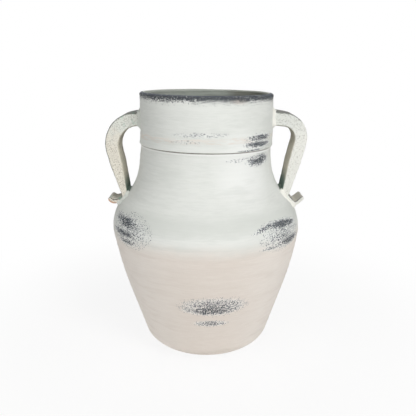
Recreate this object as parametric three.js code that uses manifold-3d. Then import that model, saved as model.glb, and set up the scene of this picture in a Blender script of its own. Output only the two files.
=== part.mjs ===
import * as THREE from "three";
import { mergeVertices } from "three/addons/utils/BufferGeometryUtils.js";
import Module from "manifold-3d";

// Two-handled whitewashed earthenware jar, in millimetres, +Z up.
// The origin is the centre of the flat foot.
// The pot is thrown in three parts: a bowl-shaped lower body, a shouldered upper
// body and a straight collar. They are luted with slip on lapped, flat-seated joints.
// Two pulled straps are pressed on with rolls of soft clay round their ends.

const wasm = await Module();
wasm.setup();

// Walls and fits
const wallThickness = 8;
const floorThickness = 10;
const slipGap = 0.3; // joint of dried slip between luted pieces

// Outer outline of lower and upper body: corner radius and height, then its round
const footRadius = 56;
const footRound = 8;
const heelRadius = 85;
const heelHeight = 16;
const heelRound = 24;
const flankRadius = 119;
const flankHeight = 124;
const flankRound = 1000;
const bellyRadius = 130.6;
const bellyHeight = 191.6;
const bellyRound = 54;
const neckRadius = 90.9;
const neckHeight = 231.8;
const neckRound = 80;
const neckTopRadius = 85.6;
const neckTopHeight = 283.6;

// Lapped joint between lower and upper body
const bellyJointHeight = 162;
const bellyTongueHeight = 5;
const bellyTongueThickness = 3.6;

// Collar, its lip and the spigot of the neck that it laps over
const collarHeight = 66.4;
const collarOverhang = 2; // how far its lower edge stands proud of the neck
const collarFlare = -0.9;
const collarEdgeRound = 2.2;
const rimTilt = THREE.MathUtils.degToRad(0.75); // the rim dried a little out of level
const lipThickness = 8;
const lipRound = 3.6;
const spigotHeight = 14;
const spigotThickness = 3.4;
const spigotChamfer = 1;

// Each strap was pulled by hand, so the two differ a little. The knuckle is placed
// from the belly's radius, foot and tail from the wall at their own heights.
const leftStrap = {
  side: -1,
  rootAboveSeat: 34.1,
  knuckleDroop: 4.7, // how far the strap sinks from root to knuckle
  knuckleInset: -0.2,
  knuckleBend: 34.5,
  footAboveBelly: 18.8,
  footBite: 4.9, // how deep the foot's centre line is pressed into the wall
  tailDrop: 3.8,
  tailRun: 10.4,
  tailBend: 7,
  tipRun: 16.6,
  tipRise: 5,
  rootWidth: 34,
  knuckleWidth: 35,
  footWidth: 38,
  tipWidth: 32,
  rootThickness: 18.2,
  knuckleThickness: 18.9,
  legThickness: 15.8,
  footThickness: 7.2,
  tailThickness: 5.8,
};
const rightStrap = {
  side: 1,
  rootAboveSeat: 35.5,
  knuckleDroop: 6.9,
  knuckleInset: 2.1,
  knuckleBend: 24.4,
  footAboveBelly: 24.7,
  footBite: 1.8,
  tailDrop: 13.3,
  tailRun: 1.6,
  tailBend: 5,
  tipRun: 13.2,
  tipRise: 9.7,
  rootWidth: 34,
  knuckleWidth: 35,
  footWidth: 38,
  tipWidth: 32,
  rootThickness: 19.2,
  knuckleThickness: 17,
  legThickness: 16.6,
  footThickness: 10.2,
  tailThickness: 5,
};
const strapEdgeRound = 2.2;
const rootStraight = 2; // of a strap outside the collar before its knuckle begins
const footBend = 7;

// Rolls of clay smoothed into the corner between straps and wall
const upperRollSize = 3.2;
const upperRollReach = 4.5;
const lowerRollSize = 2.8; // beside the strap
const lowerRollDepth = 5; // behind and under it
const lowerRollStand = 3.2; // above the wall
const lowerRollStart = 11.5; // from wall to centre line where it starts on the leg
const lowerRollEnd = 4.5; // and where it ends under the tail
const rollEdge = 0.7;

// Fineness of the faceted surfaces
const turns = 64;
const arcStep = THREE.MathUtils.degToRad(16);
const strapStations = 34;
const sectionArcSteps = 3;
const pathProbes = 240;
const middleShare = 0.49; // of an edge that a round may take, where both ends are rounded
const endShare = 0.95; // and where one end is

const collarSeat = neckTopHeight;
const collarFootRadius = neckTopRadius + collarOverhang;
const rimHeight = collarSeat + collarHeight;
const rimRadius = collarFootRadius + collarFlare;
const spigotTop = collarSeat + spigotHeight;
const spigotRadius = neckTopRadius - wallThickness + spigotThickness;
const ledgeHeight = spigotTop + slipGap; // where the collar's socket ends inside
const ledgeRadius = collarFootRadius + (collarFlare * (ledgeHeight - collarSeat)) / collarHeight;

const corner = (x, y, round = 0) => ({ x, y, round });
const between = (a, b, t) => a + (b - a) * t;
const evenly = (count, from = 0, to = 1) =>
  Array.from({ length: count + 1 }, (_, k) => between(from, to, k / count));

// Rounds the corners of an open outline with tangent arcs. A round is limited
// to what its two neighbouring edges can hold.
function roundedPath(corners) {
  const points = [new THREE.Vector2(corners[0].x, corners[0].y)];
  for (let i = 1; i < corners.length - 1; i++) {
    const here = new THREE.Vector2(corners[i].x, corners[i].y);
    const back = new THREE.Vector2(corners[i - 1].x, corners[i - 1].y).sub(here);
    const ahead = new THREE.Vector2(corners[i + 1].x, corners[i + 1].y).sub(here);
    const room = Math.min(
      back.length() * (i === 1 ? endShare : middleShare),
      ahead.length() * (i === corners.length - 2 ? endShare : middleShare),
    );
    back.normalize();
    ahead.normalize();
    const halfAngle = 0.5 * Math.acos(THREE.MathUtils.clamp(back.dot(ahead), -1, 1));
    const tangent = Math.min(corners[i].round / Math.tan(halfAngle), room);
    const radius = tangent * Math.tan(halfAngle);
    if (radius < 0.05) {
      points.push(here);
      continue;
    }
    const middle = back.clone().add(ahead).normalize().multiplyScalar(radius / Math.sin(halfAngle));
    const centre = here.clone().add(middle);
    const start = here.clone().addScaledVector(back, tangent).sub(centre);
    const end = here.clone().addScaledVector(ahead, tangent).sub(centre);
    const sweep = Math.atan2(start.cross(end), start.dot(end));
    const steps = Math.max(2, Math.ceil(Math.abs(sweep) / arcStep));
    for (let k = 0; k <= steps; k++) {
      points.push(start.clone().rotateAround(new THREE.Vector2(), (sweep * k) / steps).add(centre));
    }
  }
  const last = corners[corners.length - 1];
  points.push(new THREE.Vector2(last.x, last.y));
  return points;
}

// Moves every edge of an outline to its left and meets the moved edges again.
// A bulging corner's round shrinks by the wall, a hollow corner's grows by it.
function insetCorners(corners, shifts) {
  const lines = corners.slice(1).map((b, i) => {
    const a = corners[i];
    const along = new THREE.Vector2(b.x - a.x, b.y - a.y).normalize();
    const from = new THREE.Vector2(a.x - along.y * shifts[i], a.y + along.x * shifts[i]);
    return { from, along, shift: shifts[i] };
  });
  const inset = [corner(corners[0].x, lines[0].from.y)];
  for (let i = 1; i < lines.length; i++) {
    const [p, q] = [lines[i - 1], lines[i]];
    const turn = p.along.cross(q.along);
    const run = q.from.clone().sub(p.from).cross(q.along) / turn;
    const meet = p.from.clone().addScaledVector(p.along, run);
    inset.push(corner(meet.x, meet.y, Math.max(0, corners[i].round - Math.sign(turn) * q.shift)));
  }
  const end = corners[corners.length - 1];
  const final = lines[lines.length - 1];
  const rise = (end.y - final.from.y) / final.along.y;
  inset.push(corner(final.from.x + final.along.x * rise, end.y));
  return inset;
}

// Radius of an outline at a height
function radiusAt(points, height) {
  for (let i = 1; i < points.length; i++) {
    const [a, b] = [points[i - 1], points[i]];
    if (a.y <= height && height <= b.y && b.y > a.y) {
      return between(a.x, b.x, (height - a.y) / (b.y - a.y));
    }
  }
  return points[points.length - 1].x;
}

// The stretch of an outline between two heights, with exact end points
function stretch(points, low, high) {
  const inside = points.filter((p) => p.y > low + 0.01 && p.y < high - 0.01);
  const first = new THREE.Vector2(radiusAt(points, low), low);
  return [first, ...inside, new THREE.Vector2(radiusAt(points, high), high)];
}

// Merges shared vertices, drops collapsed triangles and turns the faces outwards
function closedGeometry(source) {
  const bare = new THREE.BufferGeometry();
  bare.setAttribute("position", source.getAttribute("position").clone());
  if (source.index) {
    bare.setIndex(source.index.clone());
  }
  const merged = mergeVertices(bare, 1e-4);
  const position = merged.getAttribute("position");
  const point = (i) => new THREE.Vector3().fromBufferAttribute(position, i);
  const faces = [];
  let volume = 0;
  for (let i = 0; i < merged.index.count; i += 3) {
    const [a, b, c] = [0, 1, 2].map((k) => merged.index.getX(i + k));
    if (a !== b && b !== c && c !== a) {
      faces.push([a, b, c]);
      volume += point(a).dot(point(b).cross(point(c)));
    }
  }
  const order = volume < 0 ? faces.map(([a, b, c]) => [a, c, b]) : faces;
  merged.setIndex(order.flat());
  merged.computeVertexNormals();
  return merged;
}

// Turns an outline that starts and ends on the axis, or closes on itself, about +Z
function turned(points) {
  return closedGeometry(new THREE.LatheGeometry(points, turns).rotateX(Math.PI / 2));
}

function toSolid(geometry) {
  const vertProperties = new Float32Array(geometry.getAttribute("position").array);
  const triVerts = new Uint32Array(geometry.index.array);
  return new wasm.Manifold(new wasm.Mesh({ numProp: 3, vertProperties, triVerts }));
}

function toGeometry(solid) {
  const mesh = solid.getMesh();
  const geometry = new THREE.BufferGeometry();
  geometry.setAttribute("position", new THREE.BufferAttribute(mesh.vertProperties, 3));
  geometry.setIndex(new THREE.BufferAttribute(mesh.triVerts, 1));
  return closedGeometry(geometry);
}

// Outer and inner outline of the two body halves
const outerCorners = [
  corner(0, 0),
  corner(footRadius, 0, footRound),
  corner(heelRadius, heelHeight, heelRound),
  corner(flankRadius, flankHeight, flankRound),
  corner(bellyRadius, bellyHeight, bellyRound),
  corner(neckRadius, neckHeight, neckRound),
  corner(neckTopRadius, neckTopHeight),
];
const wallShifts = outerCorners.slice(1).map((_, i) => (i === 0 ? floorThickness : wallThickness));
const outerOutline = roundedPath(outerCorners);
const innerOutline = roundedPath(insetCorners(outerCorners, wallShifts));

// Lower body: floor, heel and flank, with a tongue that rises inside the belly joint
function lowerBody() {
  const seat = bellyJointHeight;
  const tongueTop = seat + bellyTongueHeight;
  const tongueOuter = radiusAt(innerOutline, seat) + bellyTongueThickness;
  const outside = stretch(outerOutline, 0, seat);
  const inside = stretch(innerOutline, floorThickness, tongueTop).reverse();
  return turned([
    new THREE.Vector2(0, 0),
    ...outside,
    new THREE.Vector2(tongueOuter, seat),
    new THREE.Vector2(tongueOuter, tongueTop),
    ...inside,
    new THREE.Vector2(0, floorThickness),
  ]);
}

// Upper body: belly, shoulder and waisted neck, recessed over the tongue below
// and ending in a thinner spigot that the collar laps over
function upperBody() {
  const seat = bellyJointHeight;
  const recessTop = seat + bellyTongueHeight + slipGap;
  const recessRadius = radiusAt(innerOutline, seat) + bellyTongueThickness + slipGap;
  const boreRadius = neckTopRadius - wallThickness;
  const first = new THREE.Vector2(recessRadius, seat);
  return turned([
    first,
    ...stretch(outerOutline, seat, collarSeat),
    new THREE.Vector2(spigotRadius, collarSeat),
    new THREE.Vector2(spigotRadius, spigotTop - spigotChamfer),
    new THREE.Vector2(spigotRadius - spigotChamfer, spigotTop),
    new THREE.Vector2(boreRadius, spigotTop),
    ...stretch(innerOutline, recessTop, collarSeat).reverse(),
    new THREE.Vector2(recessRadius, recessTop),
    first.clone(),
  ]);
}

// Tilts the collar's rim, while its foot stays level on the neck
function tilted(geometry) {
  const position = geometry.getAttribute("position");
  for (let i = 0; i < position.count; i++) {
    const [x, z] = [position.getX(i), position.getZ(i)];
    const share = Math.max(0, (z - ledgeHeight) / (rimHeight - ledgeHeight));
    position.setZ(i, z - share * x * Math.tan(rimTilt));
  }
  return geometry;
}

// Collar: a straight ring with a rounded lip and an eased lower edge, socketed
// over the spigot and standing on the flat top of the neck
function collarRing() {
  const socketRadius = spigotRadius + slipGap;
  const first = new THREE.Vector2(socketRadius, collarSeat);
  const outside = roundedPath([
    first,
    corner(collarFootRadius, collarSeat, collarEdgeRound),
    corner(ledgeRadius, ledgeHeight),
    corner(rimRadius, rimHeight, lipRound),
    corner(rimRadius - lipThickness, rimHeight, lipRound),
    corner(ledgeRadius - lipThickness, ledgeHeight),
  ]);
  return turned([...outside, new THREE.Vector2(socketRadius, ledgeHeight), first.clone()]);
}

// Solid that stands for the whole outside of the pot, grown all round. Straps and
// rolls are cut with it, so that they follow the wall they sit on.
function potSolid(grow) {
  const grownBody = roundedPath(insetCorners(outerCorners, wallShifts.map(() => -grow)));
  const body = turned([...grownBody, new THREE.Vector2(0, neckTopHeight)]);
  const ring = tilted(
    turned([
      new THREE.Vector2(0, collarSeat - grow),
      new THREE.Vector2(collarFootRadius + grow, collarSeat - grow),
      new THREE.Vector2(ledgeRadius + grow, ledgeHeight),
      new THREE.Vector2(rimRadius + grow, rimHeight),
      new THREE.Vector2(0, rimHeight),
    ]),
  );
  return toSolid(body).add(toSolid(ring));
}

// Largest round of a corner that leaves a straight of some length before its arc
function widestRound(before, here, after, straight) {
  const back = new THREE.Vector2(before.x - here.x, before.y - here.y);
  const ahead = new THREE.Vector2(after.x - here.x, after.y - here.y);
  return (back.length() - straight) * Math.tan(back.angleTo(ahead) / 2);
}

// Centre line of a strap in its own upright plane: out from the collar, over the
// knuckle, down the leg, along the shoulder from foot to tail and up to the tip
function strapPath(strap) {
  const rootHeight = collarSeat + strap.rootAboveSeat;
  const footHeight = bellyHeight + strap.footAboveBelly;
  const tailHeight = footHeight - strap.tailDrop;
  const wallAtTail = radiusAt(outerOutline, tailHeight);
  const corners = [
    corner(collarFootRadius - wallThickness, rootHeight),
    corner(bellyRadius - strap.knuckleInset, rootHeight - strap.knuckleDroop, strap.knuckleBend),
    corner(radiusAt(outerOutline, footHeight) - strap.footBite, footHeight, footBend),
    corner(wallAtTail + strap.tailRun, tailHeight, strap.tailBend),
    corner(wallAtTail + strap.tipRun, tailHeight + strap.tipRise),
  ];
  const [root, knuckle, foot] = corners;
  knuckle.round = Math.min(knuckle.round, widestRound(root, knuckle, foot, wallThickness + rootStraight));
  const path = new THREE.CurvePath();
  const points = roundedPath(corners);
  for (let i = 1; i < points.length; i++) {
    path.add(new THREE.LineCurve(points[i - 1], points[i]));
  }
  const shareNear = (target) => {
    const spot = new THREE.Vector2(target.x, target.y);
    const distances = evenly(pathProbes).map((share) => path.getPointAt(share).distanceTo(spot));
    return distances.indexOf(Math.min(...distances)) / pathProbes;
  };
  return {
    path,
    length: path.getLength(),
    knuckleShare: shareNear(corners[1]),
    footShare: shareNear(corners[2]),
  };
}

// Value at a share of the length, in straight tapers between the given marks
function taper(share, marks) {
  const next = Math.max(1, marks.findIndex(([mark]) => mark >= share));
  const [[from, a], [to, b]] = [marks[next - 1], marks[next]];
  return between(a, b, (share - from) / (to - from));
}

// Half width and half thickness of a strap at a share of its length, which ends
// in a rounded tip
function strapSection(strap, line, share) {
  const { knuckleShare, footShare, length } = line;
  const legShare = (knuckleShare + footShare) / 2;
  const tailShare = (footShare + 1) / 2;
  const width = taper(share, [
    [0, strap.rootWidth],
    [knuckleShare, strap.knuckleWidth],
    [footShare, strap.footWidth],
    [1, strap.tipWidth],
  ]);
  const thickness = taper(share, [
    [0, strap.rootThickness],
    [knuckleShare, strap.knuckleThickness],
    [legShare, strap.legThickness],
    [footShare, strap.footThickness],
    [tailShare, strap.tailThickness],
    [1, strap.tailThickness],
  ]);
  const toTip = (1 - share) * length;
  const tipRound = strap.tailThickness / 2;
  const short = Math.max(0, tipRound - toTip) / tipRound;
  const rounded = Math.sqrt(Math.max(0.06, 1 - short * short));
  return {
    halfWidth: width / 2 - (1 - rounded) * tipRound,
    halfThickness: (thickness / 2) * rounded,
  };
}

// Points of a rectangle with round corners, as (across, outwards) pairs
function roundedRectangle(halfWidth, low, high, round) {
  const r = Math.min(round, 0.98 * halfWidth, 0.49 * (high - low));
  const centres = [
    [halfWidth - r, high - r, 0],
    [r - halfWidth, high - r, 1],
    [r - halfWidth, low + r, 2],
    [halfWidth - r, low + r, 3],
  ];
  return centres.flatMap(([across, out, quarter]) =>
    Array.from({ length: sectionArcSteps + 1 }, (_, k) => {
      const angle = (Math.PI / 2) * (quarter + k / sectionArcSteps);
      return [across + r * Math.cos(angle), out + r * Math.sin(angle)];
    }),
  );
}

// Skins a row of sections along a path. Each section lies square to the path,
// its first coordinate along Y and its second away from the pot.
function sweptSolid(side, path, shares, sectionAt) {
  const rings = shares.map((share) => {
    const at = path.getPointAt(share);
    const along = path.getTangentAt(share);
    return sectionAt(share).map(([across, out]) => [
      side * (at.x - along.y * out),
      across,
      at.y + along.x * out,
    ]);
  });
  const size = rings[0].length;
  const middle = (ring) => [0, 1, 2].map((k) => ring.reduce((sum, p) => sum + p[k], 0) / size);
  const vertices = [...rings.flat(), middle(rings[0]), middle(rings[rings.length - 1])];
  const [startPole, endPole] = [vertices.length - 2, vertices.length - 1];
  const index = [];
  for (let j = 0; j < size; j++) {
    const next = (j + 1) % size;
    index.push(startPole, next, j);
    for (let i = 0; i < rings.length - 1; i++) {
      const [a, b] = [i * size + j, i * size + next];
      index.push(a, b, a + size, b, b + size, a + size);
    }
    const lastRing = (rings.length - 1) * size;
    index.push(endPole, lastRing + j, lastRing + next);
  }
  const geometry = new THREE.BufferGeometry();
  geometry.setAttribute("position", new THREE.Float32BufferAttribute(vertices.flat(), 3));
  geometry.setIndex(index);
  return toSolid(closedGeometry(geometry));
}

// A pulled strap before it is cut to the pot, grown all round by a given amount
function strapBlank(strap, line, grow) {
  const tipShare = strap.tailThickness / 2 / line.length;
  const shares = [...evenly(strapStations, 0, 1 - tipShare), ...evenly(3, 1 - tipShare, 1).slice(1)];
  return sweptSolid(strap.side, line.path, shares, (share) => {
    const { halfWidth, halfThickness } = strapSection(strap, line, share);
    const thick = halfThickness + grow;
    return roundedRectangle(halfWidth + grow, -thick, thick, strapEdgeRound);
  });
}

// Roll of clay round the strap's root, thickest against the collar
function upperRoll(strap, line) {
  const wall = wallThickness + rimRadius - collarFootRadius;
  const shares = evenly(4, 0, (wall + upperRollReach) / line.length);
  return sweptSolid(strap.side, line.path, shares, (share) => {
    const { halfWidth, halfThickness } = strapSection(strap, line, share);
    const away = Math.max(0, share * line.length - wall) / upperRollReach;
    const grow = slipGap + between(upperRollSize, rollEdge, Math.min(1, away));
    const thick = halfThickness + grow;
    return roundedRectangle(halfWidth + grow, -thick, thick, strapEdgeRound + grow);
  });
}

// Share of a strap's length, looking from one share to another, where its centre
// line first comes within a distance of the wall, or first gets that far from it
function shareAtWall(line, from, to, distance, coming) {
  const away = (share) => {
    const at = line.path.getPointAt(share);
    return at.x - radiusAt(outerOutline, at.y);
  };
  const reached = (share) => (coming ? away(share) <= distance : away(share) >= distance);
  return evenly(pathProbes, from, to).find(reached) ?? to;
}

// Roll of clay behind, beside and under the strap's foot. It lies close to the wall
// all the way, and leaves the strap's outer face free.
function lowerRoll(strap, line) {
  const start = shareAtWall(line, line.knuckleShare, line.footShare, lowerRollStart, true);
  const end = shareAtWall(line, line.footShare, 1, lowerRollEnd, false);
  const swept = sweptSolid(strap.side, line.path, evenly(14, start, end), (share) => {
    const { halfWidth, halfThickness } = strapSection(strap, line, share);
    const swell = Math.sin(Math.PI * between(0.15, 0.85, (share - start) / (end - start)));
    const across = halfWidth + slipGap + between(rollEdge, lowerRollSize, swell);
    const low = -halfThickness - lowerRollDepth * swell;
    return roundedRectangle(across, low, halfThickness - rollEdge, lowerRollSize);
  });
  return swept.intersect(potSolid(lowerRollStand));
}

const whitewash = { color: 0xdfe2dc, roughness: 0.9, metalness: 0 };
const blush = { color: 0xd8cfc5, roughness: 0.9, metalness: 0 };
const cream = { color: 0xd6d2c4, roughness: 0.88, metalness: 0 };
const roll = { color: 0xcfcabb, roughness: 0.92, metalness: 0 };

const jar = new THREE.Group();

function addPiece(name, geometry, finish) {
  const piece = new THREE.Mesh(geometry, new THREE.MeshStandardMaterial(finish));
  piece.name = name;
  jar.add(piece);
}

addPiece("lower_body", lowerBody(), blush);
addPiece("upper_body", upperBody(), whitewash);
addPiece("collar", tilted(collarRing()), whitewash);

const pot = potSolid(slipGap);
for (const [name, strap] of [["left", leftStrap], ["right", rightStrap]]) {
  const line = strapPath(strap);
  const keepOut = strapBlank(strap, line, slipGap).add(pot);
  addPiece(`${name}_handle`, toGeometry(strapBlank(strap, line, 0).subtract(pot)), cream);
  addPiece(`${name}_upper_luting`, toGeometry(upperRoll(strap, line).subtract(keepOut)), roll);
  addPiece(`${name}_lower_luting`, toGeometry(lowerRoll(strap, line).subtract(keepOut)), roll);
}

export default jar;
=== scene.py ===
import math
import bpy
import numpy as np
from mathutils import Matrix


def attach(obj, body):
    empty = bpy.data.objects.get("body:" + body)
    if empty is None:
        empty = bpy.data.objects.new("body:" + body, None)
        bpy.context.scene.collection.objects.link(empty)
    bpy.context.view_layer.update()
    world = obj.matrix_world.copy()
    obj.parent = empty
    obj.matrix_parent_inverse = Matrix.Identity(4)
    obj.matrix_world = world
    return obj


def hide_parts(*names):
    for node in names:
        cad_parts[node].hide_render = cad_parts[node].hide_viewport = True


# Whitewashed two-handled jar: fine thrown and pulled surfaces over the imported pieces,
# with a limewash that is rubbed through to dark slip on the lip and in dry-brushed patches.
# Shapes are worked out in millimetres and put into the meshes in metres.

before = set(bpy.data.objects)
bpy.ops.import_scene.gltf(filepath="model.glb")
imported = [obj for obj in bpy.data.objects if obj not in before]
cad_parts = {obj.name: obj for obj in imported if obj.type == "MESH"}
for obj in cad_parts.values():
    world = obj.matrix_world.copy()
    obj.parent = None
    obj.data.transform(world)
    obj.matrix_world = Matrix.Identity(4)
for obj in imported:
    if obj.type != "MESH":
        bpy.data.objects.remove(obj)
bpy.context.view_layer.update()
print("frame loaded:", sorted(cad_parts))

mm = 0.001
tau = 2 * math.pi


def srgb(red, green, blue):
    # a colour as a screen shows it, 0 to 255, turned into the linear values that nodes take
    c = np.array([red, green, blue]) / 255
    linear = np.where(c <= 0.04045, c / 12.92, ((c + 0.055) / 1.055) ** 2.4)
    return (*linear.tolist(), 1.0)


# camera, floor and light, in metres, degrees and watts
viewing = {"distance": 0.6639, "height": 0.3839, "pitch": 16.0, "aside": 0.0023,
           "focalPixels": 500, "framePixels": 416, "sensor": 36, "farthest": 20}
white = (1, 1, 1, 1)
studio = {"floorSize": 6.0, "floorColour": (0.9, 0.9, 0.9, 1), "floorGlow": 0.1, "skyLight": 0.04,
          "floorLift": 0.86, "shadowReach": (170, 520),  # how far the floor's shadow shows, in millimetres
          "aim": (0, 0, 0.18),
          "lamps": {"fill": {"at": (-1.9, -0.9, 0.9), "size": 1.6, "watts": 6.5},
                    "low": {"at": (-1.5, -1.3, 0.35), "size": 0.8, "watts": 3},
                    "back": {"at": (-0.6, 2.0, 1.3), "size": 1.4, "watts": 9},
                    "top": {"at": (0.1, -0.5, 2.0), "size": 1.2, "watts": 7.5},
                    "front": {"at": (0.1, -2.1, 0.5), "size": 1.0, "watts": 5.5},
                    "key": {"at": (1.08, -1.55, 1.45), "size": 0.9, "watts": 25}}}


def makeCamera(v):
    # lens = sensor * focal length in pixels / width of the frame in pixels
    data = bpy.data.cameras.new("camera")
    data.sensor_width = v["sensor"]
    data.lens = v["sensor"] * v["focalPixels"] / v["framePixels"]
    data.clip_end = v["farthest"]
    camera = bpy.data.objects.new("camera", data)
    camera.location = (v["aside"], -v["distance"], v["height"])
    camera.rotation_euler = (math.radians(90 - v["pitch"]), 0, 0)
    bpy.context.collection.objects.link(camera)
    bpy.context.scene.camera = camera


def makeLamp(name, lamp, aim):
    # a round lamp, turned so that it shines at the aim
    data = bpy.data.lights.new(name, "AREA")
    data.shape = "DISK"
    data.size = lamp["size"]
    data.energy = lamp["watts"]
    obj = bpy.data.objects.new(name, data)
    obj.location = lamp["at"]
    away = obj.location.copy()
    away -= type(away)(aim)
    obj.rotation_euler = away.to_track_quat("Z", "Y").to_euler()
    bpy.context.collection.objects.link(obj)


class Wire:
    # one value inside a material; sums, products and quotients of it add Math nodes
    def __init__(self, paint, socket):
        self.paint = paint
        self.socket = socket

    def __add__(self, other):
        return self.paint.maths("ADD", self, other)

    def __radd__(self, other):
        return self.paint.maths("ADD", other, self)

    def __sub__(self, other):
        return self.paint.maths("SUBTRACT", self, other)

    def __rsub__(self, other):
        return self.paint.maths("SUBTRACT", other, self)

    def __mul__(self, other):
        return self.paint.maths("MULTIPLY", self, other)

    def __rmul__(self, other):
        return self.paint.maths("MULTIPLY", other, self)

    def __truediv__(self, other):
        return self.paint.maths("DIVIDE", self, other)

    def __rtruediv__(self, other):
        return self.paint.maths("DIVIDE", other, self)

    def __abs__(self):
        return self.paint.maths("ABSOLUTE", self)

    def __neg__(self):
        return self.paint.maths("MULTIPLY", self, -1.0)


class Paint:
    # the nodes of one material or of the sky: node adds any node, and the rest are the ones used most
    def __init__(self, owner):
        owner.use_nodes = True
        self.owner = owner
        self.tree = owner.node_tree
        self.tree.nodes.clear()

    def node(self, kind, settings=None, sockets=None):
        # settings come first, then a value or a link for each socket
        made = self.tree.nodes.new(kind)
        for key, value in (settings or {}).items():
            setattr(made, key, value)
        for key, value in (sockets or {}).items():
            if isinstance(value, Wire):
                self.tree.links.new(value.socket, made.inputs[key])
            else:
                made.inputs[key].default_value = value
        return made

    def wire(self, made, output=0):
        return Wire(self, made.outputs[output])

    def maths(self, operation, *values):
        return self.wire(self.node("ShaderNodeMath", {"operation": operation}, dict(enumerate(values))))

    def clamp(self, value):
        # kept between 0 and 1
        return self.wire(self.node("ShaderNodeClamp", None, {"Value": value}))

    def step(self, value, low, high):
        # 0 below low, 1 above high, t * t * (3 - 2t) between; with low above high it falls instead
        if low > high:
            return 1 - self.step(value, high, low)
        sockets = {"Value": value, "From Min": low, "From Max": high}
        return self.wire(self.node("ShaderNodeMapRange", {"interpolation_type": "SMOOTHSTEP"}, sockets))

    def mix(self, share, a, b):
        # colour a where the share is 0, colour b where it is 1
        return self.wire(self.node("ShaderNodeMix", {"data_type": "RGBA"}, {0: share, 6: a, 7: b}), 2)

    def larger(self, *values):
        # the largest of them
        result = values[0]
        for value in values[1:]:
            result = self.maths("MAXIMUM", result, value)
        return result

    def place(self):
        # x, y and z on the piece, in millimetres
        coordinates = self.wire(self.node("ShaderNodeTexCoord"), "Object")
        scaled = self.node("ShaderNodeVectorMath", {"operation": "SCALE"}, {0: coordinates, "Scale": 1 / mm})
        self.position = self.wire(scaled)
        parts = self.node("ShaderNodeSeparateXYZ", None, {0: self.position})
        return [self.wire(parts, k) for k in range(3)]

    def noise(self, size, stretch=(1, 1, 1), detail=2.0, roughness=0.5, shift=(0, 0, 0)):
        # soft random value from 0 to 1: features as wide as size * stretch along x, y and z
        scale = tuple(1 / (size * s) for s in stretch)
        sockets = {"Vector": self.position, "Scale": scale, "Location": shift}
        mapped = self.wire(self.node("ShaderNodeMapping", None, sockets))
        sockets = {"Vector": mapped, "Scale": 1.0, "Detail": detail, "Roughness": roughness}
        return self.wire(self.node("ShaderNodeTexNoise", None, sockets))

    def marks(self, rows):
        # all the random values of one finish by name
        return {name: self.noise(*row) for name, row in rows.items()}

    def field(self, name):
        # a value that the mesh carries at its points
        made = self.node("ShaderNodeAttribute", {"attribute_name": name})
        return self.wire(made, "Fac")

    def seen(self):
        # 1 for rays straight from the camera or by a reflection or through glass
        path = self.node("ShaderNodeLightPath")
        rays = [self.wire(path, f"Is {kind} Ray") for kind in ("Camera", "Glossy", "Transmission")]
        return self.larger(*rays)

    def finish(self, colour, roughness, height, relief, specular=0.3):
        # closes the material; relief is what a height of 1 stands for, in millimetres
        bump = self.node("ShaderNodeBump", None, {"Height": height, "Strength": 1.0, "Distance": relief * mm})
        sockets = {"Base Color": colour, "Roughness": roughness, "Normal": self.wire(bump),
                   "Specular IOR Level": specular}
        shader = self.node("ShaderNodeBsdfPrincipled", None, sockets)
        self.node("ShaderNodeOutputMaterial", None, {"Surface": self.wire(shader)})
        return self.owner


def makeStudio(s):
    # the sky lights the pot a little, and is white where it is seen
    world = bpy.data.worlds.new("studio_sky")
    bpy.context.scene.world = world
    paint = Paint(world)
    lit = paint.node("ShaderNodeBackground", None, {"Color": white, "Strength": s["skyLight"]})
    shown = paint.node("ShaderNodeBackground", None, {"Color": white})
    sockets = {0: paint.seen(), 1: paint.wire(lit), 2: paint.wire(shown)}
    mixed = paint.node("ShaderNodeMixShader", None, sockets)
    paint.node("ShaderNodeOutputWorld", None, {0: paint.wire(mixed)})

    half = s["floorSize"] / 2
    mesh = bpy.data.meshes.new("floor")
    corners = [(-half, -half, 0), (half, -half, 0), (half, half, 0), (-half, half, 0)]
    mesh.from_pydata(corners, [], [(0, 1, 2, 3)])
    floor = bpy.data.objects.new("floor", mesh)
    bpy.context.collection.objects.link(floor)
    # where it is seen, the floor is lifted to white far off, and less near the pot, which keeps its shadow
    paint = Paint(bpy.data.materials.new("floor_paper"))
    x, y, z = paint.place()
    diffuse = paint.node("ShaderNodeBsdfDiffuse", None, {"Color": s["floorColour"]})
    glow = paint.node("ShaderNodeEmission", None, {"Color": white, "Strength": s["floorGlow"]})
    shaded = paint.node("ShaderNodeAddShader", None, {0: paint.wire(diffuse), 1: paint.wire(glow)})
    plain = paint.node("ShaderNodeEmission", None, {"Color": white})
    far = paint.step(paint.maths("SQRT", x * x + y * y), *s["shadowReach"])
    lift = paint.seen() * (far * (1 - s["floorLift"]) + s["floorLift"])
    mixed = paint.node("ShaderNodeMixShader", None, {0: lift, 1: paint.wire(shaded), 2: paint.wire(plain)})
    paint.node("ShaderNodeOutputMaterial", None, {"Surface": paint.wire(mixed)})
    mesh.materials.append(paint.owner)
    for name, lamp in s["lamps"].items():
        makeLamp(name, lamp, s["aim"])
    bpy.context.scene.view_settings.view_transform = "Standard"


makeCamera(viewing)
makeStudio(studio)
print("camera and studio ready")

# the pot's own sizes, as in its construction: outline corners are radius, height and round
pot = {
    "corners": [(0, 0, 0), (56, 0, 8), (85, 16, 24), (119, 124, 1000), (130.6, 191.6, 54),
                (90.9, 231.8, 80), (85.6, 283.6, 0)],
    "wall": 8, "floor": 10, "gap": 0.3,
    "joint": 162, "tongueHeight": 5, "tongue": 3.6,  # the belly joint
    "seat": 283.6, "spigot": 14, "spigotWall": 3.4, "spigotChamfer": 1,  # what the collar stands on
    "rim": 350, "collarRadius": 87.6, "rimRadius": 86.7, "collarEdge": 2.2, "lip": 8, "lipRound": 3.6,
    # out of level in degrees and off the axis in millimetres, and the heights over which these grow
    "seatTilt": 0.95, "rimTilt": 0.75, "tiltFrom": 235,
    "aside": -1.2, "asideOver": (140, 200), "collarAside": 0.4, "collarAsideOver": (262, 305),
}
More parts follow.
